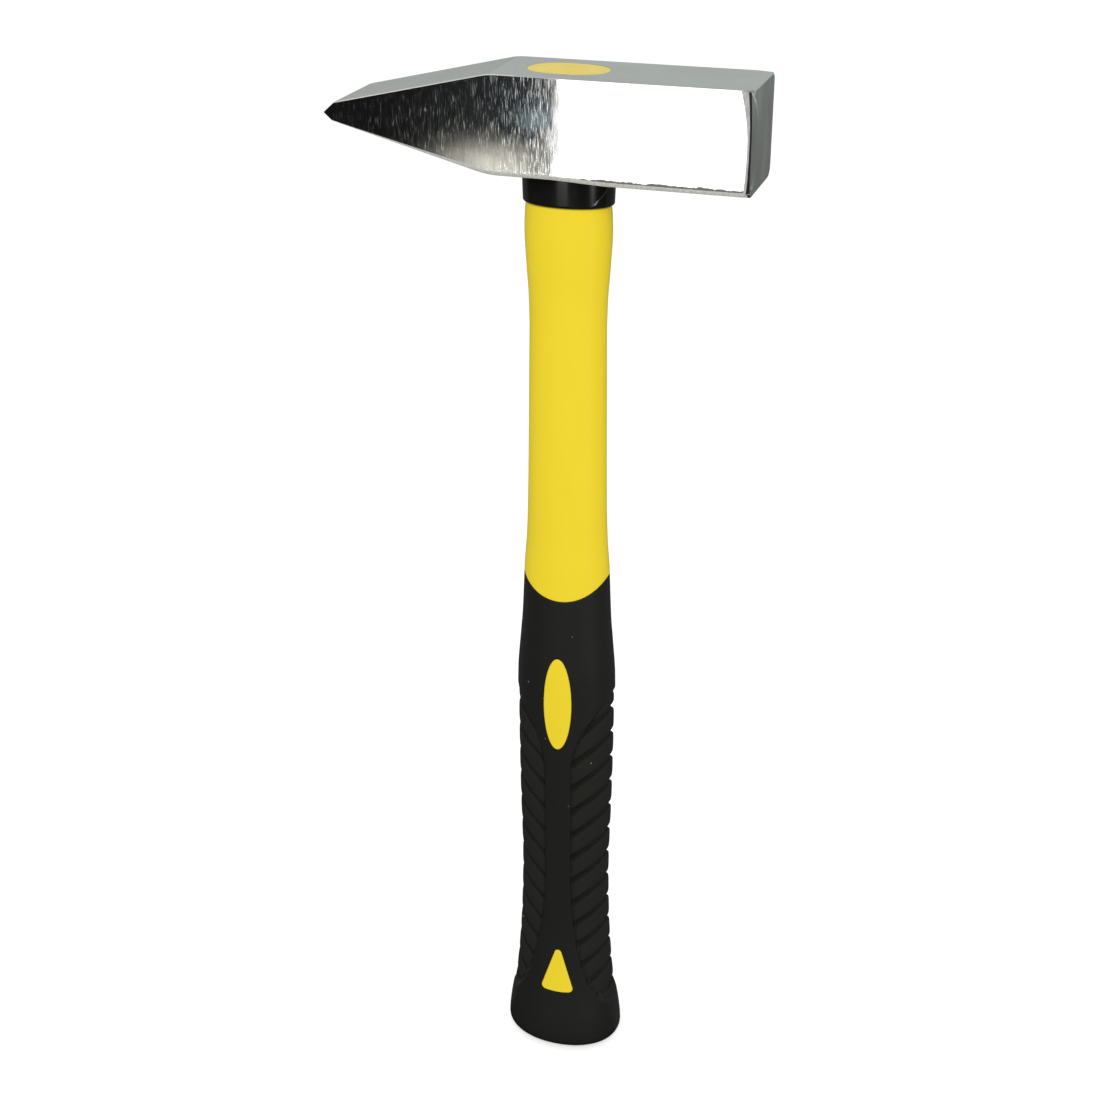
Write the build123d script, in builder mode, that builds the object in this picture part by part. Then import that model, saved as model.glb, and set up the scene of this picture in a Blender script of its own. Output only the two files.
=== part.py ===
from build123d import *
import math
import os

os.makedirs("parts", exist_ok=True)

# A 500 g cross-peen hammer with a fibreglass-cored handle in two plastics.
# The origin is on the handle axis, at the flat of the butt. +Z runs up the handle
# to the head, +X points to the striking face, and the cheeks face -Y and +Y.
# All sizes are in millimetres.

# Head
handle_length = 293.0  # flat of the butt to the underside of the head
head_length = 118.0  # striking face to peen edge
head_side = 27.0  # the head's square section
face_reach = 52.7  # handle axis to striking face
bend_reach = 17.5  # handle axis to the start of the peen's taper
peen_edge_height = 5.3  # thickness of the peen behind its edge bevels
peen_bevel = 3.0  # length of the two bevels that form the edge
peen_edge_flat = 0.8  # land left between the bevels
peen_edge_lift = 0.6  # the edge lies this far above the head's middle
bend_radius = 6.0  # rounding where the block turns into the peen
arris_radius = 0.8  # rounding along the cheeks' edges
face_chamfer = 1.2  # chamfer round the striking face

# Core rod, and the resin that holds it in the eye
rod_width = 16.0
rod_depth = 8.4
rod_floor = 14.0  # flat of the butt to the rod's lower end
rod_recess = 3.0  # resin over the rod's upper end
resin_gap = 1.8  # resin round the rod at the eye's lower mouth
eye_flare = 1.8  # how much wider the eye is at the top, on each side

# Collar, and the jacket's spigot inside it
collar_height = 8.0
collar_overhang = 0.4  # how far the collar stands out from the jacket's shoulder
collar_flare = 0.2  # how much wider the collar is under the head, on each side
collar_rim_radius = 0.9
collar_clearance = 0.1  # round the spigot and round the rod
spigot_height = 4.5
spigot_wall = 1.4
shoulder_radius = 0.8  # rounding of the jacket's rim below the collar

# Handle: half width and half depth of its oval, and the height of each oval
butt_half_width, butt_half_depth, butt_straight = 19.0, 14.6, 5.0
heel_half_width, heel_half_depth, heel_height = 16.3, 11.3, 27.0
waist_half_width, waist_half_depth, waist_height = 14.7, 9.2, 68.0
swell_half_width, swell_half_depth, swell_height = 15.5, 10.0, 122.0
throat_half_width, throat_half_depth, throat_height = 13.6, 8.8, 161.0
shaft_half_width, shaft_half_depth, shaft_height = 12.0, 7.8, 192.0
neck_half_width, neck_half_depth, neck_below_head = 11.2, 7.0, 44.0
shoulder_half_width, shoulder_half_depth, shoulder_below_head = 12.5, 7.6, 16.0
rim_half_width, rim_half_depth = 12.0, 7.1  # where the shoulder meets the collar
butt_edge_radius = 4.5

# Grip
grip_wall = 2.4
grip_floor = 7.0  # soft plastic under the jacket's lower end
grip_top_height = 172.0  # the grip's upper edge, at the sides of the handle
grip_top_dip = 6.4  # how much lower that edge is in the middle, front and back
oval_window_length, oval_window_width, oval_window_height = 32.0, 9.0, 131.0
wedge_window_length, wedge_window_width, wedge_window_foot = 17.6, 10.6, 21.4
wedge_apex_radius = 0.8
wedge_foot_radius = 1.8

# Ribs on both sides of the grip, as seen from the front
band_half_width = 4.2  # smooth band up the middle
rib_field_foot = 16.0
rib_field_recess = 0.35
rib_field_turn = 26.0  # rounding where the ribs' upper edge runs into the band
rib_count = 12
rib_pitch = 8.85  # along the handle
rib_slope = 40.0  # degrees that a rib rises from the band to the side
rib_start = 7.6  # where the lowest rib's lower edge would meet the middle line
groove_width = 1.8
groove_depth = 1.0

# Worked out from the sizes above
head_top = handle_length + head_side
peen_middle = handle_length + head_side / 2 + peen_edge_lift
peen_reach = head_length - face_reach
bevel_reach = peen_reach - peen_bevel
collar_foot = handle_length - collar_height
through_depth = 2 * butt_half_depth  # from the middle, beyond the front and back
side_reach = 2 * butt_half_width  # from the middle, beyond both sides
rib_rise = math.tan(math.radians(rib_slope))

handle_ovals = [
    (0, butt_half_width, butt_half_depth),
    (butt_straight, butt_half_width, butt_half_depth),
    (heel_height, heel_half_width, heel_half_depth),
    (waist_height, waist_half_width, waist_half_depth),
    (swell_height, swell_half_width, swell_half_depth),
    (throat_height, throat_half_width, throat_half_depth),
    (shaft_height, shaft_half_width, shaft_half_depth),
    (handle_length - neck_below_head, neck_half_width, neck_half_depth),
    (handle_length - shoulder_below_head, shoulder_half_width, shoulder_half_depth),
    (collar_foot, rim_half_width, rim_half_depth),
]


def handle_form(inset):
    """The handle's outer form, smaller all round by the inset."""
    with BuildPart() as form:
        for height, half_width, half_depth in handle_ovals:
            with BuildSketch(Plane.XY.offset(height)):
                Ellipse(half_width - inset, half_depth - inset)
        loft()
    return form.part


def eye_plug():
    """The space of the tapered eye, narrow at the bottom and flared at the top."""
    mouth_width = rod_width + 2 * resin_gap
    mouth_depth = rod_depth + 2 * resin_gap
    with BuildPart() as plug:
        with BuildSketch(Plane.XY.offset(handle_length)):
            SlotOverall(mouth_width, mouth_depth)
        with BuildSketch(Plane.XY.offset(head_top)):
            SlotOverall(mouth_width + 2 * eye_flare, mouth_depth + 2 * eye_flare)
        loft()
    return plug.part


# Core rod: a pultruded oval rod from the butt to just under the top of the head
with BuildPart() as core_rod:
    with BuildSketch(Plane.XY.offset(rod_floor)):
        SlotOverall(rod_width, rod_depth)
    extrude(amount=head_top - rod_recess - rod_floor)

# Head: a square block that tapers to a cross peen, with the eye through it
with BuildPart() as head:
    with BuildSketch(Plane.XZ):
        with BuildLine():
            Polyline(
                (face_reach, handle_length),
                (face_reach, head_top),
                (-bend_reach, head_top),
                (-bevel_reach, peen_middle + peen_edge_height / 2),
                (-peen_reach, peen_middle + peen_edge_flat / 2),
                (-peen_reach, peen_middle - peen_edge_flat / 2),
                (-bevel_reach, peen_middle - peen_edge_height / 2),
                (-bend_reach, handle_length),
                close=True,
            )
        make_face()
    extrude(amount=head_side / 2, both=True)
    bends = head.edges().filter_by(Axis.Y).filter_by_position(
        Axis.X, -bend_reach, -bend_reach
    )
    fillet(bends, bend_radius)
    chamfer(head.faces().sort_by(Axis.X)[-1].edges(), face_chamfer)
    cheeks = head.faces().sort_by(Axis.Y)
    arrises = (cheeks[0].edges() + cheeks[-1].edges()).filter_by(
        lambda edge: edge.center().X > -bevel_reach
    )
    fillet(arrises, arris_radius)
    add(eye_plug(), mode=Mode.SUBTRACT)

# Resin: poured into the eye round the rod, level with the top of the head
with BuildPart() as eye_resin:
    add(eye_plug())
    add(core_rod.part, mode=Mode.SUBTRACT)

# Handle blank: the jacket and the grip together, with the spigot for the collar
with BuildPart() as handle_blank:
    add(handle_form(0))
    fillet(handle_blank.faces().sort_by(Axis.Z)[-1].edges(), shoulder_radius)
    fillet(handle_blank.faces().sort_by(Axis.Z)[0].edges(), butt_edge_radius)
    with BuildSketch(Plane.XY.offset(collar_foot)):
        SlotOverall(rod_width + 2 * spigot_wall, rod_depth + 2 * spigot_wall)
    extrude(amount=spigot_height)

# Windows: an oval high on the grip and a wedge near the butt, front and back
with BuildPart() as windows:
    with BuildSketch(Plane.XZ):
        with Locations((0, oval_window_height)):
            Ellipse(oval_window_width / 2, oval_window_length / 2)
    extrude(amount=through_depth, both=True)
    with BuildSketch(Plane.XZ) as wedge:
        with BuildLine():
            Polyline(
                (-wedge_window_width / 2, wedge_window_foot),
                (wedge_window_width / 2, wedge_window_foot),
                (0, wedge_window_foot + wedge_window_length),
                close=True,
            )
        make_face()
        fillet(wedge.vertices().group_by(Axis.Y)[0], wedge_foot_radius)
        fillet(wedge.vertices().group_by(Axis.Y)[-1], wedge_apex_radius)
    extrude(amount=through_depth, both=True)

# Jacket's form inside the grip
with BuildPart() as jacket_core:
    add(handle_form(grip_wall))
    split(bisect_by=Plane.XY.offset(grip_floor), keep=Keep.TOP)

# Grip before its ribs: the blank below the curved upper edge, outside the jacket
with BuildPart() as grip_blank:
    add(handle_blank.part)
    with BuildSketch(Plane.XZ):
        with BuildLine():
            upper_edge = ThreePointArc(
                (-throat_half_width, grip_top_height),
                (0, grip_top_height - grip_top_dip),
                (throat_half_width, grip_top_height),
            )
            Polyline(
                upper_edge @ 1,
                (side_reach, grip_top_height),
                (side_reach, -side_reach),
                (-side_reach, -side_reach),
                (-side_reach, grip_top_height),
                upper_edge @ 0,
            )
        make_face()
    extrude(amount=through_depth, both=True, mode=Mode.INTERSECT)
    add(jacket_core.part, mode=Mode.SUBTRACT)
    add(windows.part, mode=Mode.SUBTRACT)

# Jacket: what is left of the blank, moulded round the rod
with BuildPart() as jacket:
    add(handle_blank.part)
    add(grip_blank.part, mode=Mode.SUBTRACT)
    add(core_rod.part, mode=Mode.SUBTRACT)

# Rib field: an elliptical foot, the edge of the band, and a top edge along a rib
with BuildSketch() as rib_field:
    with BuildLine():
        foot = EllipticalCenterArc(
            center=(butt_half_width, waist_height),
            x_radius=butt_half_width - band_half_width,
            y_radius=waist_height - rib_field_foot,
            start_angle=180,
            arc_size=90,
        )
        top = rib_start + rib_count * rib_pitch
        Polyline(
            foot @ 1,
            (side_reach, rib_field_foot),
            (side_reach, top + side_reach * rib_rise),
            (band_half_width, top + band_half_width * rib_rise),
            foot @ 0,
        )
    make_face()
    turn = rib_field.vertices().filter_by_position(
        Axis.X, band_half_width, band_half_width
    ).sort_by(Axis.Y)[-1]
    fillet(turn, rib_field_turn)
    mirror(about=Plane.YZ)

# Grooves between the ribs, rising from the band to both sides
with BuildSketch() as groove_lines:
    for number in range(1, rib_count):
        with Locations((0, rib_start + number * rib_pitch)):
            Rectangle(
                2 * side_reach,
                groove_width,
                rotation=rib_slope,
                align=(Align.MIN, Align.CENTER),
            )
    mirror(about=Plane.YZ)
    add(rib_field.sketch, mode=Mode.INTERSECT)


def cutter(outline, depth):
    """The outline pushed right through the handle, down to a depth below its form."""
    with BuildPart() as tool:
        with BuildSketch(Plane.XZ):
            add(outline)
        extrude(amount=through_depth, both=True)
        add(handle_form(depth), mode=Mode.SUBTRACT)
    return tool.part


# Grip: recessed rib fields with grooves across them
with BuildPart() as grip:
    add(grip_blank.part)
    add(cutter(rib_field.sketch, rib_field_recess), mode=Mode.SUBTRACT)
    add(cutter(groove_lines.sketch, groove_depth), mode=Mode.SUBTRACT)

# Collar: sits on the jacket's shoulder, over the spigot, against the head
with BuildPart() as collar:
    with BuildSketch(Plane.XY.offset(collar_foot)):
        Ellipse(shoulder_half_width + collar_overhang, shoulder_half_depth + collar_overhang)
    with BuildSketch(Plane.XY.offset(handle_length)):
        Ellipse(
            shoulder_half_width + collar_overhang + collar_flare,
            shoulder_half_depth + collar_overhang + collar_flare,
        )
    loft()
    fillet(collar.faces().sort_by(Axis.Z)[0].edges(), collar_rim_radius)
    with BuildSketch(Plane.XY.offset(collar_foot)):
        SlotOverall(
            rod_width + 2 * (spigot_wall + collar_clearance),
            rod_depth + 2 * (spigot_wall + collar_clearance),
        )
    extrude(amount=spigot_height, mode=Mode.SUBTRACT)
    with BuildSketch(Plane.XY.offset(collar_foot)):
        SlotOverall(rod_width + 2 * collar_clearance, rod_depth + 2 * collar_clearance)
    extrude(amount=collar_height, mode=Mode.SUBTRACT)

head.part.label = "head"
core_rod.part.label = "core_rod"
eye_resin.part.label = "eye_resin"
jacket.part.label = "jacket"
grip.part.label = "grip"
collar.part.label = "collar"

export_step(head.part, "parts/head.step")
export_step(core_rod.part, "parts/core_rod.step")
export_step(eye_resin.part, "parts/eye_resin.step")
export_step(jacket.part, "parts/jacket.step")
export_step(grip.part, "parts/grip.step")
export_step(collar.part, "parts/collar.step")
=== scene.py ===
import math
import bmesh
import bpy
import numpy as np
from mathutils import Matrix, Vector


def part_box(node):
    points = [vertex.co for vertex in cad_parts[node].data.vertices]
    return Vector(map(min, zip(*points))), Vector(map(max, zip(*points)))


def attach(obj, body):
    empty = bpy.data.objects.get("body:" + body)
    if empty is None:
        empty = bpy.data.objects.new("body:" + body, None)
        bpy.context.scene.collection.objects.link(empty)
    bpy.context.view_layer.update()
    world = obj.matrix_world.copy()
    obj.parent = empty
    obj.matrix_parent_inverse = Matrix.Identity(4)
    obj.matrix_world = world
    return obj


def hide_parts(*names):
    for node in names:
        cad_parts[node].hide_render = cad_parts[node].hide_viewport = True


# cross-peen hammer stood on its butt: polished head, yellow jacket, black ribbed grip
# shapes are worked out in millimetres and handed to Blender in metres

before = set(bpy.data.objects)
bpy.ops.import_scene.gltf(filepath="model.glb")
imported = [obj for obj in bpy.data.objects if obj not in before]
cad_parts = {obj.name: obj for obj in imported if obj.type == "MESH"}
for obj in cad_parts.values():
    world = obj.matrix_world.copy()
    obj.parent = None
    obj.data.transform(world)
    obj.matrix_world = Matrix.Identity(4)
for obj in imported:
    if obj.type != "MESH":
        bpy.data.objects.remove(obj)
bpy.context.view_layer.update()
mm = 0.001


def boxOf(node):  # lowest and highest corner of one of the CAD pieces, in millimetres
    return [[v / mm for v in corner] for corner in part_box(node)]


headLow, headHigh = boxOf("head")
handGround = {
    "taller": 0.7,  # the real block isn't quite square: it reaches lower,
    "thinner": 0.6,  # and its back cheek is ground further in
    "liftMiddle": 6.0,  # towards the peen the underside comes up again, round here
    "liftLength": 20.0,
}
headUnder, headTop = headLow[2] - handGround["taller"], headHigh[2]
headMiddle = (headUnder + headTop) / 2
headHalf = headHigh[1]
headBack = headHalf - handGround["thinner"]
collarFoot = boxOf("collar")[0][2] - handGround["taller"]
print("frame loaded, head from", round(headUnder), "to", round(headTop))


def addObject(name, points, faces):
    mesh = bpy.data.meshes.new(name)
    mesh.from_pydata([tuple(p) for p in np.asarray(points) * mm], [], faces)
    work = bmesh.new()
    work.from_mesh(mesh)
    if work.calc_volume(signed=True) < 0:  # faces must look outwards
        bmesh.ops.reverse_faces(work, faces=work.faces)
        work.to_mesh(mesh)
    work.free()
    mesh.update()
    for polygon in mesh.polygons:
        polygon.use_smooth = True
    thing = bpy.data.objects.new(name, mesh)
    bpy.context.scene.collection.objects.link(thing)
    return thing


def ringFaces(rows, columns):  # quads between closed rings of points
    faces = []
    for row in range(rows - 1):
        a, b = row * columns, (row + 1) * columns
        for i in range(columns):
            j = (i + 1) % columns
            faces.append((a + i, a + j, b + j, b + i))
    return faces


def shell(name, rings):  # a closed skin through equal rings, with a fan at each end
    rings = [np.asarray(ring, float) for ring in rings]
    columns = len(rings[0])
    points = np.concatenate(rings + [[rings[0].mean(axis=0), rings[-1].mean(axis=0)]])
    start, end = len(points) - 2, len(points) - 1
    last = (len(rings) - 1) * columns
    faces = ringFaces(len(rings), columns)
    faces += [(start, (i + 1) % columns, i) for i in range(columns)]
    faces += [(end, last + i, last + (i + 1) % columns) for i in range(columns)]
    return addObject(name, points, faces)


def cutWith(target, cutters):  # boolean each cutter out of the target, then drop the cutters
    for cutter in cutters:
        step = target.modifiers.new("cut", "BOOLEAN")
        step.operation = "DIFFERENCE"
        step.solver = "MANIFOLD"
        step.object = cutter
    graph = bpy.context.evaluated_depsgraph_get()
    finished = bpy.data.meshes.new_from_object(target.evaluated_get(graph))
    target.modifiers.clear()
    old = target.data
    target.data = finished
    bpy.data.meshes.remove(old)
    for cutter in cutters:
        bpy.data.objects.remove(cutter)


def smoothStep(value):
    t = np.clip(value, 0, 1)
    return t * t * (3 - 2 * t)


def underLift(x):  # the head is taller only from the handle to the striking face
    length = handGround["liftLength"]
    share = (x - handGround["liftMiddle"] + length / 2) / length
    return handGround["taller"] * (1 - smoothStep(share))


def throughPoints(heights, values):
    # a curve through the points that never swings past them
    x, y = np.asarray(heights, float), np.asarray(values, float)
    h, slope = np.diff(x), np.diff(y) / np.diff(x)
    bend = np.zeros_like(y)
    both = slope[:-1] * slope[1:] > 0
    w1, w2 = 2 * h[1:] + h[:-1], h[1:] + 2 * h[:-1]
    safe = np.where(both, slope[:-1] * slope[1:], 1)
    mean = (w1 + w2) * safe / (w1 * slope[1:] + w2 * slope[:-1] + 1e-12)
    bend[1:-1] = np.where(both, mean, 0)
    bend[0], bend[-1] = slope[0], slope[-1]

    def curve(at):
        at = np.clip(at, x[0], x[-1])
        k = np.clip(np.searchsorted(x, at) - 1, 0, len(h) - 1)
        t = (at - x[k]) / h[k]
        return (y[k] * (1 + 2 * t) * (1 - t) ** 2 + bend[k] * h[k] * t * (1 - t) ** 2
                + y[k + 1] * t * t * (3 - 2 * t) + bend[k + 1] * h[k] * t * t * (t - 1))
    return curve


# the handle's form, shared by the grip, the jacket and the window bosses
handle = {
    # height, half width, half depth
    "ovals": [(0, 19.0, 14.35), (5, 18.9, 14.3), (11, 18.35, 13.7), (18, 17.3, 12.6),
              (26, 16.45, 11.5), (36, 15.7, 10.5), (48, 15.05, 9.7), (68, 14.65, 9.3),
              (96, 15.25, 9.7), (122, 15.5, 10.0), (138, 15.25, 9.9), (148, 14.5, 9.4),
              (157, 13.75, 8.9), (168, 13.25, 8.4), (174, 13.0, 8.2), (183, 12.3, 7.9),
              (194, 11.9, 7.75), (240, 11.3, 7.1)],
    # the same, with the height measured down from the head
    "neckOvals": [(44, 11.2, 7.0), (36, 11.35, 7.05), (26, 12.0, 7.35), (16, 12.5, 7.6),
                  (11, 12.35, 7.5), (8, 12.05, 7.2)],
    "squareness": 2.1,  # 2 is a plain ellipse
    "buttRoundWidth": 5.4,  # the edge at the floor is rounded, wider than it is tall
    "buttRoundHeight": 4.2,
}
handleOvals = handle["ovals"] + [(headUnder - below, w, d) for below, w, d in handle["neckOvals"]]
ovalHeights = [oval[0] for oval in handleOvals]
halfWidth = throughPoints(ovalHeights, [oval[1] for oval in handleOvals])
halfDepth = throughPoints(ovalHeights, [oval[2] for oval in handleOvals])


def buttRounding(z):  # how far the butt's edge draws in near the floor
    k = np.clip(1 - z / handle["buttRoundHeight"], 0, 1)
    return handle["buttRoundWidth"] * (1 - np.sqrt(1 - k * k))


def ovalPoint(z, angle, inset=0):  # a spot on the handle's outline, moved in along its normal
    power = 2 / handle["squareness"]
    c, s = np.cos(angle), np.sin(angle)
    cx, cy = np.sign(c) * abs(c) ** power, np.sign(s) * abs(s) ** power
    a, b = halfWidth(z) - buttRounding(z), halfDepth(z) - buttRounding(z)
    x, y = a * cx, b * cy
    nx, ny = cx / a, cy / b
    size = np.sqrt(nx * nx + ny * ny)
    return x - inset * nx / size, y - inset * ny / size


def frontDepth(x, z):  # how far the handle's surface stands from the middle plane
    n = handle["squareness"]
    return halfDepth(z) * np.clip(1 - abs(x / halfWidth(z)) ** n, 0, 1) ** (1 / n)


grip = {
    "wall": 2.4,
    "floor": 7.0,
    "edgeHeight": 172.0,  # upper edge at the sides of the handle
    "edgeDip": 6.8,  # how much lower it is in the middle
    "edgeHalfWidth": 13.0,
    "edgeRound": 0.35,
    "levelRows": 14.0,  # how soon above the floor the rows take up the ribs' slope
    "columns": 400,
    "rowsPerRib": 30,
    "buttRows": 14,
    "topRows": 90,
    "wallRows": 24,
    "lipTurns": (22, 45, 67, 90),  # degrees
}
ribs = {
    "count": 12,
    "pitch": 8.85,
    "slope": 40.0,  # degrees up from the band to the side
    "start": 7.8,  # where the lowest rib's lower edge would cross the middle line
    "topSlope": 1.6,  # the field's upper edge climbs more steeply than the ribs
    "topDrop": 5.5,
    "recess": 0.42,
    "rimLine": 0.30,  # extra depth right beside the band
    "bandHalf": 4.1,
    "bandTurn": 5.5,  # how softly the top of the field turns into the band
    "footSide": 19.0,  # the band widens into the butt along an oval with these reaches
    "footTop": 68.0,
    "foot": 16.0,
    "grooveDepth": 1.15,
    "grooveHalf": 1.1,
    "bandReach": 2.6,  # this near the band the grooves are wider and deeper
    "bandWider": 0.3,
    "bandDeeper": 0.2,
    "crown": 0.28,
    "crownNarrow": 2.6,
    "recessEdge": 0.7,  # how softly each of them starts at the field's edge
    "crownEdge": 1.5,
    "grooveEdge": 0.8,
    "rimAt": 0.55,
    "rimHalf": 0.4,
}
ribRise = math.tan(math.radians(ribs["slope"]))
ribTilt = math.cos(math.radians(ribs["slope"]))
fieldTop = ribs["start"] + ribs["count"] * ribs["pitch"]
edgeRadius = (grip["edgeHalfWidth"] ** 2 + grip["edgeDip"] ** 2) / (2 * grip["edgeDip"])


def gripEdge(x):  # height of the grip's curved upper edge
    reach = np.minimum(abs(x), edgeRadius * 0.98)
    return grip["edgeHeight"] - grip["edgeDip"] + edgeRadius - np.sqrt(edgeRadius ** 2 - reach ** 2)


def fieldDepth(x, z):
    # how far inside the rib field a spot lies, negative outside: the nearer of the band's rounded
    # outline and the sloping upper edge, run softly into each other
    rx, rz = ribs["footSide"] - ribs["bandHalf"], ribs["footTop"] - ribs["foot"]
    u = np.maximum(ribs["footSide"] - abs(x), 0) / rx
    v = np.maximum(ribs["footTop"] - z, 0) / rz
    reach = np.sqrt((u / rx) ** 2 + (v / rz) ** 2) + 1e-6
    fromBand = (1 - u * u - v * v) / (2 * reach)
    slope, k = ribs["topSlope"], ribs["bandTurn"]
    fromTop = (fieldTop - ribs["topDrop"] + abs(x) * slope - z) / math.hypot(1, slope)
    h = np.clip(0.5 + 0.5 * (fromTop - fromBand) / k, 0, 1)
    return fromTop * (1 - h) + fromBand * h - k * h * (1 - h)


def nearestGroove(x, z):  # its number, and how far off it is as a share of the pitch
    line = (z - ribs["start"] - abs(x) * ribRise) / ribs["pitch"]
    number = np.round(line)
    return number, abs(line - number)


def ribInset(x, z):  # recess, grooves and crowned ribs, as a depth below the plain form
    inside = fieldDepth(x, z)
    number, off = nearestGroove(x, z)
    gap = off * ribs["pitch"] * ribTilt
    nearBand = np.exp(-np.clip(inside, 0, 50) / ribs["bandReach"])
    half = ribs["grooveHalf"] * (1 + ribs["bandWider"] * nearBand)
    deep = ribs["grooveDepth"] * (1 + ribs["bandDeeper"] * nearBand)
    vee = np.clip(1 - gap / half, 0, 1)
    groove = deep * vee * (2 - vee) * 0.5 + deep * 0.5 * vee
    within = (number >= 0) & (number <= ribs["count"])
    recess = ribs["recess"] * smoothStep(inside / ribs["recessEdge"] + 0.5)
    crown = ribs["crown"] * np.clip(1 - ribs["crownNarrow"] * off, 0, 1) ** 2
    crown = crown * smoothStep(inside / ribs["crownEdge"])
    rim = ribs["rimLine"] * np.exp(-((inside - ribs["rimAt"]) / ribs["rimHalf"]) ** 2)
    return recess + rim + np.where(within, crown + groove, 0) * smoothStep(inside / ribs["grooveEdge"])


def gripRows():  # heights of the rows of points on the middle line
    fine = ribs["pitch"] / grip["rowsPerRib"]
    top = grip["edgeHeight"] - grip["edgeDip"]
    turn = np.linspace(0, math.pi / 2, grip["buttRows"])
    low = list(handle["buttRoundHeight"] * (1 - np.cos(turn)))
    # fine rows on every groove and crown, through the rib field and a little past it
    first = ribs["start"] - fine * int((ribs["start"] - low[-1] - 0.1) / fine)
    body = list(np.arange(first, fieldTop + 8, fine))
    rest = list(np.linspace(body[-1] + 0.5, top, grip["topRows"]))
    return np.array(low + body + rest)


def gripHeight(row, x):
    # rows lie level at the butt, follow the ribs' slope, then turn into the upper edge
    top = grip["edgeHeight"] - grip["edgeDip"]
    curved = smoothStep((row - fieldTop) / (top - fieldTop))
    sloped = smoothStep(row / grip["levelRows"]) * (1 - curved)
    return row + sloped * ribRise * abs(x) + curved * (gripEdge(x) - top)


def buildGrip():
    angles = np.linspace(0, 2 * math.pi, grip["columns"], endpoint=False)[None, :]
    rows = gripRows()[:, None]
    z = rows + 0 * angles
    for _ in range(5):  # height and width depend on each other, and settle in a few rounds
        x, y = ovalPoint(z, angles)
        z = gripHeight(rows, x)
    x, y = ovalPoint(z, angles)
    x, y = ovalPoint(z, angles, ribInset(x, z))
    rings = [np.stack([x[i], y[i], z[i]], 1) for i in range(len(rows))]
    rings[-1][:, 2] -= grip["edgeRound"]
    rings[-2][:, 2] = (rings[-3][:, 2] + rings[-1][:, 2]) / 2
    lip = rings[-1]
    for turn in grip["lipTurns"]:  # rounded lip, then the wall goes in and down to the floor
        t = math.radians(turn)
        inX, inY = ovalPoint(z[-1], angles[0], grip["edgeRound"] * (1 - math.cos(t)))
        rings.append(np.stack([inX, inY, lip[:, 2] + grip["edgeRound"] * math.sin(t)], 1))
    for share in np.linspace(0, 1, grip["wallRows"]):
        height = rings[-1][:, 2] if share == 0 else lip[:, 2] * (1 - share) + grip["floor"] * share
        inX, inY = ovalPoint(height, angles[0], grip["wall"])
        rings.append(np.stack([inX, inY, height], 1))
    return shell("grip", rings)


# windows in the grip, and the jacket's bosses that fill them
windows = {
    "ovalHeight": 130.4,
    "ovalHalfWidth": 4.45,
    "ovalHalfLength": 15.8,
    "wedgeMiddle": 0.6,  # it stands a little to one side
    "wedgeFoot": 22.7,
    "wedgeHalfWidth": 5.75,
    "wedgeLength": 18.3,
    "wedgeApexRound": 1.2,
    "wedgeFootRound": 1.25,
    "footBow": 0.45,  # the wedge's lower edge bows down in the middle
    "gap": 0.05,  # between a boss and its window
    "edgeRound": 0.3,
    "bossRing": 1.2,  # how deep a boss's wall has a ring between its foot and its rounded rim
    "edgeTurns": (25, 50, 75, 90),  # degrees
    "faceShares": (0.9, 0.75, 0.6, 0.45, 0.3, 0.15, 0.05),
    "crown": 0.06,
    "squareness": 2.04,  # a touch blunter than an ellipse towards its ends
    "points": 96,
    "cornerPoints": 14,
    "sidePoints": 20,
}


def ovalOutline():
    t = np.linspace(0, 2 * math.pi, windows["points"], endpoint=False)
    c, s = np.cos(t), np.sin(t)
    x = windows["ovalHalfWidth"] * np.sign(c) * abs(c) ** (2 / windows["squareness"])
    z = windows["ovalHeight"] + windows["ovalHalfLength"] * s
    return np.stack([x, z], 1)


def unit(run):
    return run / np.linalg.norm(run)


def roundedCorner(here, before, after, radius):  # arc that replaces a sharp corner
    before, after = unit(before - here), unit(after - here)
    half = math.acos(np.clip(before @ after, -1, 1)) / 2
    centre = here + unit(before + after) * radius / math.sin(half)
    first, last = (here + way * radius / math.tan(half) - centre for way in (before, after))
    a0, a1 = math.atan2(first[1], first[0]), math.atan2(last[1], last[0])
    if a1 < a0:
        a1 += 2 * math.pi
    turns = np.linspace(a0, a1, windows["cornerPoints"])
    return [centre + radius * np.array([math.cos(a), math.sin(a)]) for a in turns]


def wedgeOutline():
    foot, half, tall = windows["wedgeFoot"], windows["wedgeHalfWidth"], windows["wedgeLength"]
    corners = [np.array(corner) for corner in ((half, foot), (0, foot + tall), (-half, foot))]
    radii = [windows["wedgeFootRound"], windows["wedgeApexRound"], windows["wedgeFootRound"]]
    arcs = [roundedCorner(corners[i], corners[i - 1], corners[(i + 1) % 3], radii[i]) for i in range(3)]
    out = []
    for i, arc in enumerate(arcs):
        start, end = arc[-1], arcs[(i + 1) % 3][0]
        side = np.linspace(0, 1, windows["sidePoints"])[1:-1]
        out += arc + [start + (end - start) * t for t in side]
    out = np.array(out)
    bow = windows["footBow"] * np.clip(1 - (out[:, 0] / half) ** 2, 0, 1)
    out[:, 1] -= bow * np.clip(1 - (out[:, 1] - foot) / 3, 0, 1)  # only along the lower edge
    out[:, 0] += windows["wedgeMiddle"]
    return out


def inwards(outline, amount):  # outline moved in by a distance, along its own normals
    ahead, back = np.roll(outline, -1, 0), np.roll(outline, 1, 0)
    run = ahead - back
    normal = np.stack([-run[:, 1], run[:, 0]], 1)
    normal /= np.linalg.norm(normal, axis=1)[:, None]
    return outline + normal * amount


def windowCutter(name, outline):
    wide = inwards(outline, -windows["gap"])
    deep = 3 * halfDepth(0)
    front = np.stack([wide[:, 0], np.full(len(wide), -deep), wide[:, 1]], 1)
    back = front * [1, -1, 1]
    return shell(name, [front, back])


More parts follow.
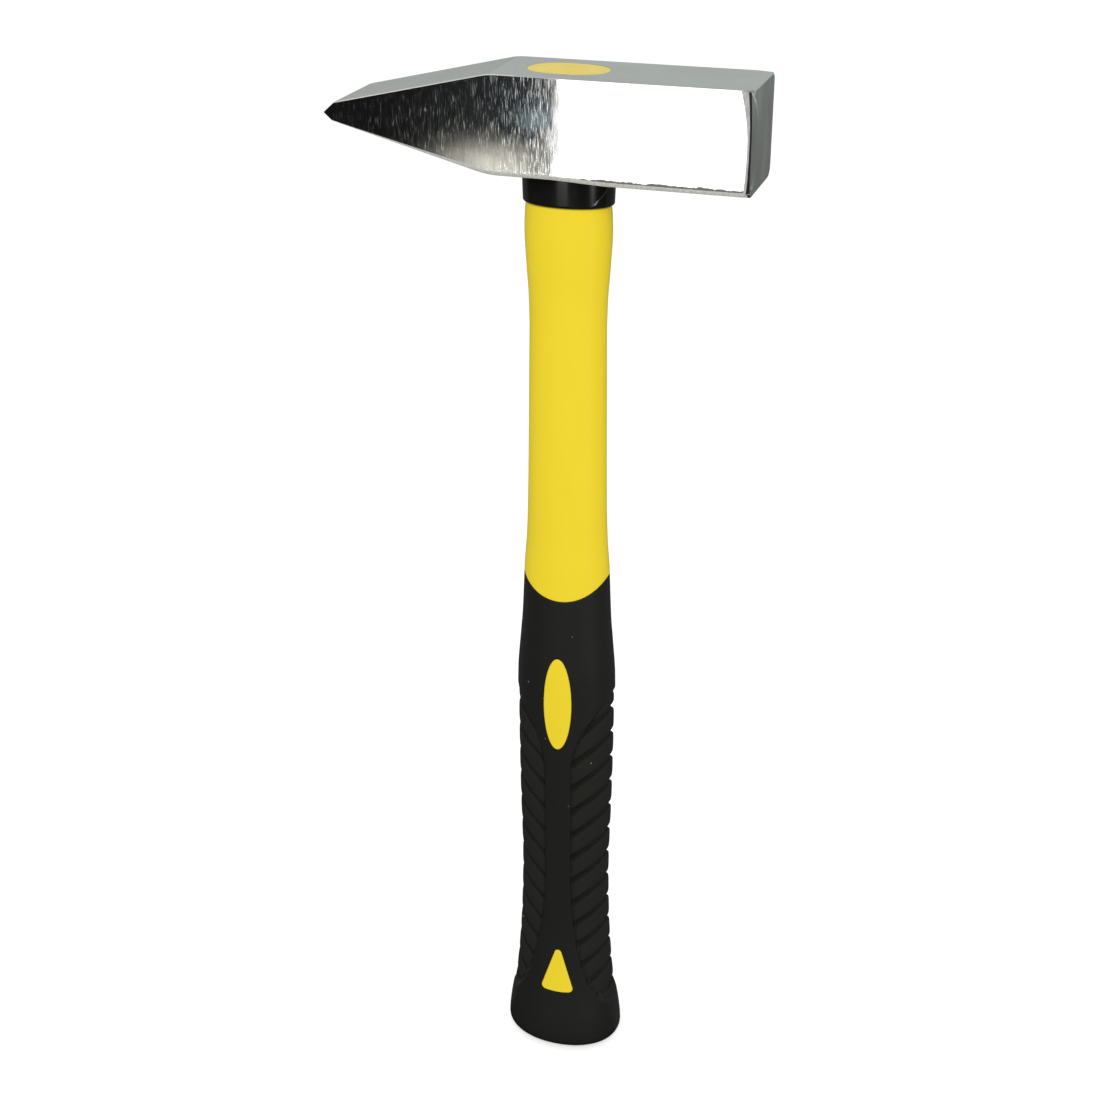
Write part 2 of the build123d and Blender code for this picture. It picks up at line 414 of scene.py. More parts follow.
def bossSkin(outline, side):
    # crowned face, rounded rim and a short wall going in, as rings from the wall's foot to the centre
    centre = outline.mean(axis=0)
    edge = windows["edgeRound"]
    rings = [(outline, drop) for drop in (grip["wall"], windows["bossRing"], edge)]
    for turn in windows["edgeTurns"]:
        t = math.radians(turn)
        rings.append((inwards(outline, edge * (1 - math.cos(t))), edge * (1 - math.sin(t))))
    flat = rings[-1][0]
    for share in windows["faceShares"]:
        rings.append((centre + (flat - centre) * share, -windows["crown"] * (1 - share ** 2)))
    made = []
    for line, drop in rings:
        y = -(frontDepth(line[:, 0], line[:, 1]) - drop)
        made.append(np.stack([line[:, 0], y * side, line[:, 1]], 1))
    return made


jacket = {
    "edgeRound": 0.3,
    "edgeTurns": (0, 22, 45, 67, 90),  # degrees
    "shoulder": [(0.15, 0.15), (0.5, 0.3), (1.6, 0.38), (3.2, 0.4)],  # in from the side, and up
    "underCollar": 0.4,  # height of its rounded shoulder, which ends at the collar's foot
    "gap": 0.02,  # between the jacket and the grip's wall
    "columns": 240,
    "rows": 130,
    "hiddenRows": 24,
}


def buildJacket():
    angles = np.linspace(0, 2 * math.pi, jacket["columns"], endpoint=False)
    top = collarFoot - jacket["underCollar"]
    core = []
    z = np.full_like(angles, grip["edgeHeight"])
    for _ in range(5):
        x, y = ovalPoint(z, angles)
        z = gripEdge(x)
    edge = z
    for share in np.linspace(0, 1, jacket["hiddenRows"]):  # inside the grip, from its floor up
        height = grip["floor"] * (1 - share) + (edge - jacket["gap"]) * share
        x, y = ovalPoint(height, angles, grip["wall"] + jacket["gap"])
        core.append(np.stack([x, y, height], 1))
    for turn in jacket["edgeTurns"]:  # out over the grip's lip, with a rounded corner
        t = math.radians(turn)
        height = edge + jacket["edgeRound"] * (1 - math.cos(t))
        x, y = ovalPoint(height, angles, jacket["edgeRound"] * (1 - math.sin(t)))
        core.append(np.stack([x, y, height], 1))
    start = edge + jacket["edgeRound"]
    for share in np.linspace(0, 1, jacket["rows"])[1:]:
        height = start * (1 - share) + top * share
        x, y = ovalPoint(height, angles)
        core.append(np.stack([x, y, height], 1))
    for inset, rise in jacket["shoulder"]:
        height = np.full_like(angles, top + rise)
        x, y = ovalPoint(height, angles, inset)
        core.append(np.stack([x, y, height], 1))
    body = shell("jacket", core)
    bosses = []
    for outline in (ovalOutline(), wedgeOutline()):
        for side in (1, -1):
            rings = bossSkin(outline, side)
            if side > 0:
                rings = [ring[::-1] for ring in rings]
            bosses.append(shell("boss", rings))
    for boss in bosses:
        with bpy.context.temp_override(active_object=body, selected_editable_objects=[body, boss]):
            bpy.ops.object.join()
    return body


collar = {
    "fits": 16.0,  # it follows the handle's oval this far below the head
    "drop": 0.15,  # its rim hangs this far over the shoulder
    "rimRound": 0.6,
    "rimTurns": (0, 18, 36, 54, 72, 90),  # degrees
    "underside": [(0.25, 1.5), (0.05, 0.4)],  # up from the foot, and in from the rim
    "topInset": 3.0,
    "flare": 0.25,
    "overhang": 0.42,
    "seamFrom": -52.0,  # degrees round the collar, at its foot
    "seamTo": -8.0,  # degrees, at its top
    "seamHeight": 0.10,
    "seamHalf": 0.16,
    "columns": 480,
    "rows": 40,
}


def collarOval(angle, grow):
    a = halfWidth(headUnder - collar["fits"]) + grow
    b = halfDepth(headUnder - collar["fits"]) + grow
    power = 2 / handle["squareness"]
    c, s = np.cos(angle), np.sin(angle)
    return a * np.sign(c) * abs(c) ** power, b * np.sign(s) * abs(s) ** power


def buildCollar():
    angles = np.linspace(0, 2 * math.pi, collar["columns"], endpoint=False)
    foot = collarFoot - collar["drop"]
    tall = headUnder - foot
    edge, overhang = collar["rimRound"], collar["overhang"]
    seamStart, seamEnd = math.radians(collar["seamFrom"]), math.radians(collar["seamTo"])
    across = halfWidth(headUnder - collar["fits"]) * 0.7  # turns an angle into a rough width
    rings = []

    def ring(height, grow, seam=0.0):  # seam is how much of the slanting seam shows
        line = seamStart + (seamEnd - seamStart) * (height - foot) / tall
        around = (angles - line + math.pi) % (2 * math.pi) - math.pi
        lift = seam * collar["seamHeight"] * np.exp(-(around * across / collar["seamHalf"]) ** 2)
        x, y = collarOval(angles, grow + lift)
        share = np.clip((height - foot) / tall, 0, 1)
        rings.append(np.stack([x, y, height + share * underLift(x)], 1))

    for rise, inset in collar["underside"]:
        ring(foot + rise, overhang - edge - inset)
    for turn in collar["rimTurns"]:
        t = math.radians(turn)
        ring(foot + edge * (1 - math.cos(t)), overhang - edge * (1 - math.sin(t)))
    for share in np.linspace(0, 1, collar["rows"])[1:]:
        ring(foot + edge + (tall - edge) * share, overhang + collar["flare"] * share, 1.0)
    ring(headUnder, -collar["topInset"])
    return shell("collar", rings)


head = {
    "tip": headLow[0] - 0.2,
    "edge": headMiddle + 0.9,  # height of the peen's edge
    "bevelTop": (3.0, 2.85),  # back from the edge, and above it
    "bevelUnder": (2.3, 2.15),
    "bendReach": (18.6, 19.4),  # where the slopes start, above and below
    "bendRound": (1.8, 3.4),
    "topRound": 0.28,  # corner rounding along the top of the cheeks
    "slopeRound": 0.32,
    "underRound": 1.45,  # and along their lower edge, which is ground flatter
    "farUnderRound": 2.3,
    "underFade": 42.0,  # millimetres from the tip over which the lower rounding comes in
    "tipSteps": (1.1, 0.35, 0.08),
    "blockStart": 4.4,  # behind the striking face
    "blockRows": 14,
    "bendRows": 17,
    "taperRows": 10,
    "cornerSteps": 6,
    "sideSteps": 10,
    "sharpAngle": 22.0,
}
faceEdge = {
    # hand-ground front edge of the striking face: its measure in the middle, what is added towards
    # the top and how suddenly, then the same towards the foot
    "lean": (0.4, 0.6, 2, 0.0, 1),  # how far the edge stands back
    "dark": (0.42, 0.2, 2, 0.5, 3),  # width of the strip left unpolished
    "ground": (0.5, 1.3, 1.6, 0.15, 1),  # width of the bright bevel
    # rings from the flat outwards: what the front side is set back by, how far it is drawn in and
    # what adds to that, how far the other sides are set back and drawn in, and the corner rounding
    "rings": [
        (("lean",), 0.3, ("dark",), 0.0, 0.3, (0.9, 3.0, 1.9, 0.4)),
        (("lean", "dark"), 0.3, (), 0.14, 0.08, (1.0, 3.0, 1.8, 0.35)),
        (("lean", "dark", "ground"), 0.0, (), 0.32, 0.0, (1.5, 2.9, 1.5, 0.3)),
    ],
    "crown": 0.15,
    "crownShares": (0.3, 0.6, 0.8, 0.9, 0.97),
}
eye = {
    "middle": -0.1,
    "halfWidth": 11.2,
    "halfDepth": 7.6,
    "mouthHalfWidth": 9.8,
    "mouthHalfDepth": 6.0,
    "squareness": 2.4,
    "rim": 0.15,
    "points": 128,
    "cutPast": 0.5,  # the cutter goes on above the head
}


def headSection(x, low, high, radii, inset=0.0):
    # rounded rectangle across the head, from the front lower corner round to the front upper one
    steps = head["cornerSteps"]
    front, back = -headHalf + inset, headBack - inset
    radii = [min(radius, (high - low) * 0.45) for radius in radii]
    corners = [(front, 1, low, 1, 180), (back, -1, low, 1, 270),
               (back, -1, high, -1, 0), (front, 1, high, -1, 90)]
    spots = []
    for (y, inY, z, inZ, start), radius in zip(corners, radii):
        power = 1.6 if start == 180 else 1.0  # the front lower edge is nearly a flat
        for i in range(steps + 1):
            turn = math.radians(start + 90 * i / steps)
            c, s = math.cos(turn), math.sin(turn)
            c, s = math.copysign(abs(c) ** power, c), math.copysign(abs(s) ** power, s)
            spots.append((x, y + radius * (inY + c), z + radius * (inZ + s)))
    upper, lower = high - radii[3], low + radii[0]
    for i in range(1, head["sideSteps"] + 1):  # down the front cheek, back to the start
        spots.append((x, front, upper + (lower - upper) * i / (head["sideSteps"] + 1)))
    return np.array(spots)


def frontness():  # for each point of a section, 1 on the front cheek easing to 0 round its corners
    steps = head["cornerSteps"]
    ease = np.linspace(1, 0, steps + 1)
    flat = np.zeros(steps + 1)
    return np.concatenate([ease, flat, flat, ease[::-1], np.ones(head["sideSteps"])])


def faceRing(setBack, drawnIn, drawnBy, otherBack, inset, radii):
    # ring near the striking face: its front side follows the hand-ground bevel
    ring = headSection(headHigh[0], headUnder + inset, headTop - inset, radii, inset)
    height = np.clip((ring[:, 2] - headMiddle) / headHalf, -1, 1)

    def total(parts):
        out = 0 * height
        for part in parts:
            middle, top, topPower, foot, footPower = faceEdge[part]
            out = out + (middle + top * np.clip(height, 0, 1) ** topPower
                         + foot * np.clip(-height, 0, 1) ** footPower)
        return out

    side = frontness()
    ring[:, 0] -= side * total(setBack) + (1 - side) * otherBack
    ring[:, 1] += side * (drawnIn + total(drawnBy) - inset)
    return ring


def faceSections():  # the striking face, very slightly crowned, and the edges round it
    reach = headHigh[0]
    outer = [faceRing(*ring) for ring in faceEdge["rings"]]
    flat = outer[0]
    centre = np.array([reach, flat[:, 1].mean(), headMiddle])
    inner = []
    for share in faceEdge["crownShares"]:
        ring = centre + (flat - centre) * share
        ring[:, 0] = reach + faceEdge["crown"] * (1 - share ** 2) - (reach - flat[:, 0]) * share ** 4
        inner.append(ring)
    return inner + outer


def fall(x, slope, start, soft):  # a straight slope, with a parabola through the bend
    d = start - x
    if d < -soft:
        return 0.0
    if d < soft:
        return slope * (d + soft) ** 2 / (4 * soft)
    return slope * d


def headSections():  # from the striking face to the peen's tip
    sections = faceSections()
    tip, edge = head["tip"], head["edge"]
    startTop, startUnder = (-reachBack for reachBack in head["bendReach"])
    softTop, softUnder = head["bendRound"]
    block = (head["underRound"], head["farUnderRound"], head["topRound"], head["topRound"])
    first = max(startTop + softTop, startUnder + softUnder)
    for x in np.linspace(headHigh[0] - head["blockStart"], first, head["blockRows"]):
        sections.append(headSection(x, headUnder + underLift(x), headTop, block))
    topReach, topRise = head["bevelTop"]
    underReach, underDrop = head["bevelUnder"]
    fallTop = (headTop - edge - topRise) / (startTop - tip - topReach)
    fallUnder = (edge - underDrop - headUnder - underLift(tip)) / (startUnder - tip - underReach)
    last = startUnder - softUnder
    stations = [*np.linspace(first, last, head["bendRows"])[1:],
                *np.linspace(last, tip + topReach + 0.12, head["taperRows"])[1:],
                tip + topReach - 0.12, tip + underReach + 0.08, tip + underReach - 0.1]
    stations += [tip + step for step in head["tipSteps"]]
    for x in stations:  # the rounded bend, the taper, then the two bevels of the edge
        high = headTop - fall(x, fallTop, startTop, softTop)
        low = headUnder + underLift(x) + fall(x, fallUnder, startUnder, softUnder)
        high = min(high, edge + topRise * (x - tip) / topReach)
        low = max(low, edge - underDrop * (x - tip) / underReach)
        soften = min(1.0, (high - low) / 6)
        fade = min(1.0, max(0.15, (x - tip) / head["underFade"]))
        under, arris = head["underRound"] * fade * soften, head["slopeRound"] * soften
        sections.append(headSection(x, low, high, (under, under, arris, arris)))
    return sections


def eyeRing(height, width, depth):
    t = np.linspace(0, 2 * math.pi, eye["points"], endpoint=False)
    power = 2 / eye["squareness"]
    c, s = np.cos(t), np.sin(t)
    return np.stack([eye["middle"] + width * np.sign(c) * abs(c) ** power,
                     depth * np.sign(s) * abs(s) ** power, np.full_like(t, height)], 1)


def buildHead():
    body = shell("head", headSections())
    rim, past = eye["rim"], eye["cutPast"]
    rings = [eyeRing(headUnder - 1, eye["mouthHalfWidth"], eye["mouthHalfDepth"]),
             eyeRing(headTop - rim, eye["halfWidth"], eye["halfDepth"]),
             eyeRing(headTop + past, eye["halfWidth"] + rim + past, eye["halfDepth"] + rim + past)]
    cutWith(body, [shell("eye cutter", rings)])
    body.name = "head"
    body.data.set_sharp_from_angle(angle=math.radians(head["sharpAngle"]))
    keep = body.modifiers.new("even shading", "WEIGHTED_NORMAL")
    keep.keep_sharp = True
    return body


resin = {
    "footGap": 0.02,
    "wallGap": 0.01,
    "wallRows": 5,
    # its slightly sunken top: share of the eye's size, and how far below the head's top
    "surface": [(0.985, 0.10), (0.96, 0.03), (0.9, 0.01), (0.75, 0.02), (0.5, 0.04), (0.2, 0.05)],
}


def buildResin():
    gap = resin["footGap"]
    rings = [eyeRing(headUnder + 0.05, eye["mouthHalfWidth"] - gap, eye["mouthHalfDepth"] - gap)]
    gap = resin["wallGap"]
    for share in np.linspace(0, 1, resin["wallRows"])[1:]:
        width = eye["mouthHalfWidth"] * (1 - share) + eye["halfWidth"] * share
        depth = eye["mouthHalfDepth"] * (1 - share) + eye["halfDepth"] * share
        height = headUnder * (1 - share) + (headTop - eye["rim"]) * share
        rings.append(eyeRing(height, width - gap, depth - gap))
    for share, drop in resin["surface"]:
        rings.append(eyeRing(headTop - drop, eye["halfWidth"] * share, eye["halfDepth"] * share))
    return shell("resin", rings)


gripPiece = buildGrip()
print("grip skin:", len(gripPiece.data.polygons), "faces")
cutWith(gripPiece, [windowCutter("oval cutter", ovalOutline()),
                    windowCutter("wedge cutter", wedgeOutline())])
print("windows cut:", len(gripPiece.data.polygons), "faces")
jacketPiece = buildJacket()
collarPiece = buildCollar()
headPiece = buildHead()
resinPiece = buildResin()
print("head, collar, jacket and resin made")


def newMaterial(name):
    material = bpy.data.materials.new(name)
    material.use_nodes = True
    shader = material.node_tree.nodes["Principled BSDF"]
    return material, material.node_tree, shader


def node(tree, kind, **settings):  # settings are the node's own, or values for its inputs
    made = tree.nodes.new(kind)
    for key, value in settings.items():
        if hasattr(made, key):
            setattr(made, key, value)
        else:
            made.inputs[key.replace("_", " ")].default_value = value
    return made


def place(tree, scale=(1, 1, 1)):  # object coordinates in metres, stretched
    where = node(tree, "ShaderNodeTexCoord")
    mapping = node(tree, "ShaderNodeMapping")
    mapping.inputs["Scale"].default_value = scale
    tree.links.new(where.outputs["Object"], mapping.inputs["Vector"])
    return mapping.outputs["Vector"]


def noise(tree, vector, scale, detail=4.0, rough=0.5):
    made = node(tree, "ShaderNodeTexNoise", Scale=scale, Detail=detail, Roughness=rough)
    tree.links.new(vector, made.inputs["Vector"])
    return made.outputs["Fac"]


def remap(tree, value, low, high, toLow, toHigh):
    made = node(tree, "ShaderNodeMapRange")
    made.inputs["From Min"].default_value = low
    made.inputs["From Max"].default_value = high
    made.inputs["To Min"].default_value = toLow
    made.inputs["To Max"].default_value = toHigh
    tree.links.new(value, made.inputs["Value"])
    return made.outputs["Result"]


def ramp(tree, value, stops):
    made = node(tree, "ShaderNodeValToRGB")
    while len(made.color_ramp.elements) < len(stops):
        made.color_ramp.elements.new(0.5)
    for element, (spot, colour) in zip(made.color_ramp.elements, stops):
        element.position = spot
        element.color = (*colour, 1)
    tree.links.new(value, made.inputs["Fac"])
    return made.outputs["Color"]


def bump(tree, shader, heights):
    # each entry is (value, strength, distance in metres), chained into the shader's normal
    normal = None
    for value, strength, distance in heights:
        made = node(tree, "ShaderNodeBump", Strength=strength, Distance=distance)
        tree.links.new(value, made.inputs["Height"])
        if normal:
            tree.links.new(normal, made.inputs["Normal"])
        normal = made.outputs["Normal"]
    tree.links.new(normal, shader.inputs["Normal"])


polish = {
    "colour": (0.84, 0.84, 0.82),
    "roughLow": 0.03,
    "roughHigh": 0.065,
    "scratch": 0.04,
    "scratchRough": 0.13,
    "streak": 0.019,
    "wave": 0.035,
    # broken dark band that darkens the base colour just above the ground lower edge, in millimetres
    "ragged": 1.5,
    "streakAbove": 0.45,
    "streakWidth": 0.35,
    "streakShade": 0.08,
}


def polishedSteel():
    material, tree, shader = newMaterial("polished steel")
    shader.inputs["Metallic"].default_value = 1.0
    fine = noise(tree, place(tree, (1, 1, 0.06)), 5200, 3)
    scratches = remap(tree, fine, 0.56, 0.72, 0, 1)
    coarse = noise(tree, place(tree, (1, 1, 0.12)), 1100, 5, 0.6)
    swirl = noise(tree, place(tree, (1, 1, 0.6)), 45, 3)
    darker = tuple(c * 0.85 for c in polish["colour"])
    shade = ramp(tree, coarse, [(0.25, darker), (0.6, polish["colour"])])
    height = node(tree, "ShaderNodeSeparateXYZ")
    tree.links.new(place(tree), height.inputs["Vector"])
    ragged = noise(tree, place(tree), 420, 4, 0.6)
    lower = node(tree, "ShaderNodeMath", operation="MULTIPLY_ADD")
    tree.links.new(ragged, lower.inputs[0])
    lower.inputs[1].default_value = polish["ragged"] * mm
    tree.links.new(height.outputs["Z"], lower.inputs[2])
    foot = headUnder + head["underRound"] + 0.5 * polish["ragged"] + polish["streakAbove"]
    streak = remap(tree, lower.outputs["Value"], foot * mm, (foot + polish["streakWidth"]) * mm,
                   polish["streakShade"], 1)
    mixed = node(tree, "ShaderNodeMix", data_type="RGBA", blend_type="MULTIPLY")
    mixed.inputs["Factor"].default_value = 1.0
    tree.links.new(shade, mixed.inputs["A"])
    tree.links.new(streak, mixed.inputs["B"])
    tree.links.new(mixed.outputs["Result"], shader.inputs["Base Color"])
    worn = node(tree, "ShaderNodeMath", operation="MULTIPLY_ADD")
    tree.links.new(scratches, worn.inputs[0])
    worn.inputs[1].default_value = polish["scratchRough"]
    smooth = remap(tree, coarse, 0.3, 0.7, polish["roughLow"], polish["roughHigh"])
    tree.links.new(smooth, worn.inputs[2])
    tree.links.new(worn.outputs["Value"], shader.inputs["Roughness"])
    bump(tree, shader, [(swirl, polish["wave"], 0.002), (coarse, polish["streak"], 0.0001),
                        (scratches, polish["scratch"], 0.00003)])
    return material


satin = {
    "light": (0.55, 0.62, 0.59),
    "dark": (0.53, 0.56, 0.52),
    "roughLow": 0.3,
    "roughHigh": 0.42,
}


def satinSteel(name, share=1.0, mottle=1.0, stretch=(1, 1, 1)):  # share and mottle darken it
    material, tree, shader = newMaterial(name)
    shader.inputs["Metallic"].default_value = 1.0
    grain = noise(tree, place(tree, (0.25, 1, 1)), 2600, 4)
    cloud = noise(tree, place(tree, stretch), 60, 4)
    shade = ramp(tree, cloud, [(0.3, tuple(c * share * mottle for c in satin["dark"])),
                               (0.7, tuple(c * share for c in satin["light"]))])
    tree.links.new(shade, shader.inputs["Base Color"])
    tree.links.new(remap(tree, grain, 0.3, 0.7, satin["roughLow"], satin["roughHigh"]),
                   shader.inputs["Roughness"])
    bump(tree, shader, [(grain, 0.18, 0.00005)])
    return material


def edgeSteel(name, dark, light, metallic):  # hand-ground or unpolished edges
    material, tree, shader = newMaterial(name)
    shader.inputs["Metallic"].default_value = metallic
    grain = noise(tree, place(tree, (1, 1, 0.3)), 1500, 4)
    tree.links.new(ramp(tree, grain, [(0.3, dark), (0.75, light)]), shader.inputs["Base Color"])
    shader.inputs["Roughness"].default_value = 0.45
    return material


yellow = {"bright": (0.905, 0.70, 0.026), "deep": (0.89, 0.68, 0.023), "rough": 0.45, "gloss": 0.16}


def jacketYellow():
    material, tree, shader = newMaterial("yellow jacket")
    cloud = noise(tree, place(tree, (1, 1, 0.4)), 70, 3)
    skin = noise(tree, place(tree), 2400, 3)
    shade = ramp(tree, cloud, [(0.3, yellow["deep"]), (0.6, yellow["bright"])])
    tree.links.new(shade, shader.inputs["Base Color"])
    shader.inputs["Roughness"].default_value = yellow["rough"]
    shader.inputs["Specular IOR Level"].default_value = yellow["gloss"]
    bump(tree, shader, [(skin, 0.12, 0.00004)])
    return material


rubber = {
    # two shades, roughness and depth of grain
    "band": ((0.0118, 0.0128, 0.0112), (0.0128, 0.0137, 0.0120), 0.5, 0.15),
    "ribs": ((0.0128, 0.0140, 0.0108), (0.0162, 0.0172, 0.0132), 0.8, 0.45),
    # grooves: a darker colour on the groove bottoms, painted shade in the recesses
    "grooves": ((0.0055, 0.0057, 0.0045), (0.0128, 0.0140, 0.0108), 0.8, 0.15),
}
rubberGloss = 0.2
dust = {"colour": (0.30, 0.28, 0.22, 1), "spread": 170.0, "size": (0.028, 0.040)}


def gripBlack(part):
    dark, light, rough, grainStrength = rubber[part]
    material, tree, shader = newMaterial("black grip " + part)
    grain = noise(tree, place(tree), 2600, 4, 0.6)
    shade = ramp(tree, grain, [(0.35, dark), (0.65, light)])
    # a few grains of pale dust
    cells = node(tree, "ShaderNodeTexVoronoi", Scale=dust["spread"])
    tree.links.new(place(tree), cells.inputs["Vector"])
    speck = remap(tree, cells.outputs["Distance"], *dust["size"], 1, 0)
    mixed = node(tree, "ShaderNodeMix", data_type="RGBA")
    tree.links.new(speck, mixed.inputs["Factor"])
    tree.links.new(shade, mixed.inputs["A"])
    mixed.inputs["B"].default_value = dust["colour"]
    tree.links.new(mixed.outputs["Result"], shader.inputs["Base Color"])
    shader.inputs["Roughness"].default_value = rough
    shader.inputs["Specular IOR Level"].default_value = rubberGloss
    bump(tree, shader, [(grain, grainStrength, 0.00008)])
    return material


def collarBlack():
    material, tree, shader = newMaterial("collar black")
    cloud = noise(tree, place(tree), 240, 4)
    shade = ramp(tree, cloud, [(0.3, (0.0055, 0.0055, 0.0045)), (0.7, (0.0075, 0.0078, 0.0065))])
    tree.links.new(shade, shader.inputs["Base Color"])
    tree.links.new(remap(tree, cloud, 0.3, 0.7, 0.13, 0.16), shader.inputs["Roughness"])
    shader.inputs["Specular IOR Level"].default_value = 0.4
    return material


def resinYellow():
    material, tree, shader = newMaterial("eye resin")
    cloud = noise(tree, place(tree), 260, 5, 0.6)
    shade = ramp(tree, cloud, [(0.3, (0.84, 0.64, 0.09)), (0.7, (0.90, 0.74, 0.15))])
    tree.links.new(shade, shader.inputs["Base Color"])
    shader.inputs["Roughness"].default_value = 0.5
    bump(tree, shader, [(cloud, 0.2, 0.0002)])
    return material


def glassFibre():
    material, tree, shader = newMaterial("glass fibre rod")
    strand = noise(tree, place(tree, (1, 1, 0.02)), 3200, 4)
    shade = ramp(tree, strand, [(0.3, (0.62, 0.52, 0.25)), (0.7, (0.78, 0.72, 0.45))])
    tree.links.new(shade, shader.inputs["Base Color"])
    shader.inputs["Roughness"].default_value = 0.4
    bump(tree, shader, [(strand, 0.3, 0.00005)])
    return material


def dress(piece, finishes):
    piece.data.materials.clear()
    for finish in finishes:
        piece.data.materials.append(finish)


def dressByPlace(piece, finishes, choose):  # choose names the finish for a direction and a spot
    dress(piece, finishes.values())
    names = list(finishes)
    for polygon in piece.data.polygons:
        polygon.material_index = names.index(choose(polygon.normal, polygon.center / mm))


headFinishes = {
    "satin": satinSteel("satin steel"),
    "polished": polishedSteel(),
    "unpolished": edgeSteel("unpolished edge", (0.015, 0.015, 0.013), (0.035, 0.035, 0.03), 0.5),
    "ground": edgeSteel("ground edge", (0.33, 0.34, 0.33), (0.58, 0.59, 0.57), 0.25),
    # the same satin darkened to 0.8: painted shade on the peen's slopes
    "slope": satinSteel("satin slope painted shade", 0.80),
    # pale, nearly matt steel: a painted highlight along the peen slope's top front arris
    "arris": edgeSteel("arris painted highlight", (0.50, 0.50, 0.44), (0.88, 0.88, 0.80), 0.1),
    # near-white, almost matt: a real ground finish, and its paleness is painted light standing in for
    # the floor's light on this downward face
    "lowerEdge": edgeSteel("ground lower edge with painted floor light", (0.56, 0.57, 0.54), (0.92, 0.92, 0.88), 0.1),
    "striking": satinSteel("striking face", 1.04, 0.74, (1, 1.6, 0.7)),
}


def headFinish(normal, spot):
    if spot.x > headHigh[0] - 2.9 and normal.y < -0.4 and normal.x > 0.05:  # the face's front edge
        return "unpolished" if normal.x > 0.6 else "ground"
    # the lower edge: ground finish, pale with painted floor light
    if -0.95 < normal.y < -0.3 and normal.z < -0.3:
        return "lowerEdge"
    # the peen's top front arris gets the painted highlight
    if spot.x < -headHalf and -0.88 < normal.y < -0.12 and normal.z > 0.3:
        return "arris"
    if normal.x > 0.95:
        return "striking"
    if abs(normal.y) > 0.75:
        return "polished"
    # faces leaning towards the peen get the darker satin: painted shade
    return "slope" if -0.5 < normal.x < -0.1 else "satin"


def gripFinish(_, spot):
    if fieldDepth(spot.x, spot.z) <= 0.4:
        return "band"
    number, off = nearestGroove(spot.x, spot.z)
    # the middle of each groove takes the darker grooves finish: painted shade
    deep = off * ribs["pitch"] * ribTilt < 0.45 * ribs["grooveHalf"]
    return "grooves" if deep and 0 <= number <= ribs["count"] else "ribs"


dressByPlace(headPiece, headFinishes, headFinish)
dress(jacketPiece, [jacketYellow()])
dressByPlace(gripPiece, {part: gripBlack(part) for part in rubber}, gripFinish)
dress(collarPiece, [collarBlack()])
dress(resinPiece, [resinYellow()])
dress(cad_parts["core_rod"], [glassFibre()])
print("finishes on")

for piece, cadNode, slot in ((headPiece, "head", "head_steel"),
                             (jacketPiece, "jacket", "jacket_plastic"),
                             (gripPiece, "grip", "grip_rubber"),
                             (collarPiece, "collar", "collar_plastic"),
                             (resinPiece, "eye_resin", "eye_resin")):
    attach(piece, "root")
    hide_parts(cadNode)


studio = {
    "floorHalf": 7.0,
    "floorColour": (0.93, 0.93, 0.925),
    "floorGlow": 0.47,
    "world": 0.63,
    "groundHalf": 3.0,
    # seen only in shiny surfaces, in metres: near and far edge and colour of the ground
    "grounds": {
        "dark ground": (-3, 0, (0.03, 0.03, 0.03)),
        "grey ground": (0, 3, (0.22, 0.22, 0.22)),
    },
    # and upright cards: how far back, left, right, foot, top, colour, glow
    "walls": {
        "dark corner": (-0.80, -1.4, -0.244, 0.080, 0.55, (0.01, 0.01, 0.01), 0.0),
        "white panel": (-0.84, -0.30, 0.10, 0.073, 0.60, (1.0, 1.0, 0.99), 1.5),
        "left strip": (-0.90, -0.35, -0.12, 0.0, 0.080, (1, 1, 1), 2.8),
        "right strip": (-0.90, 0.66, 0.88, 0.0, 0.085, (1, 1, 1), 40.0),
        "dark back": (1.00, -0.30, 1.20, 0.0, 0.20, (0.26, 0.26, 0.25), 0.0),
    },
    # what the dark end of the cheek looks into: a cool haze, a warm patch low down, a small blue one
    "cornerGlows": [
        ((-0.250, -0.80, 0.13), 0.14, 0.16, (0.010, 0.015, 0.018)),
        ((-0.292, -0.80, 0.092), 0.074, 0.028, (0.80, 0.77, 0.68)),
        ((-0.258, -0.80, 0.128), 0.018, 0.013, (0.22, 0.30, 0.36)),
    ],
}


def card(name, corners, colour, glow=0.0):
    # flat card from its four corners, in metres
    mesh = bpy.data.meshes.new(name)
    mesh.from_pydata([Vector(corner) for corner in corners], [], [(0, 1, 2, 3)])
    thing = bpy.data.objects.new(name, mesh)
    bpy.context.scene.collection.objects.link(thing)
    material, _, shader = newMaterial(name)
    shader.inputs["Base Color"].default_value = (*colour, 1)
    shader.inputs["Roughness"].default_value = 0.9
    shader.inputs["Specular IOR Level"].default_value = 0.1
    if glow:
        shader.inputs["Emission Color"].default_value = (*colour, 1)
        shader.inputs["Emission Strength"].default_value = glow
    mesh.materials.append(material)
    return thing


def level(left, right, near, far, height):
    return [(left, near, height), (right, near, height), (right, far, height), (left, far, height)]


def upright(y, left, right, low, high):
    return [(left, y, low), (right, y, low), (right, y, high), (left, y, high)]


def reflected(thing):  # seen only in shiny surfaces
    for flag in ("visible_camera", "visible_diffuse", "visible_shadow"):
        setattr(thing, flag, False)
    return thing


reach = studio["floorHalf"]
floor = card("floor", level(-reach, reach, -reach, reach, 0),
             studio["floorColour"], studio["floorGlow"])
floor.visible_diffuse = False
reach = studio["groundHalf"]
for name, (near, far, colour) in studio["grounds"].items():
    reflected(card(name, level(-reach, reach, near, far, 0.001), colour))
walls = {name: reflected(card(name, upright(*sides), colour, glow))
         for name, (*sides, colour, glow) in studio["walls"].items()}


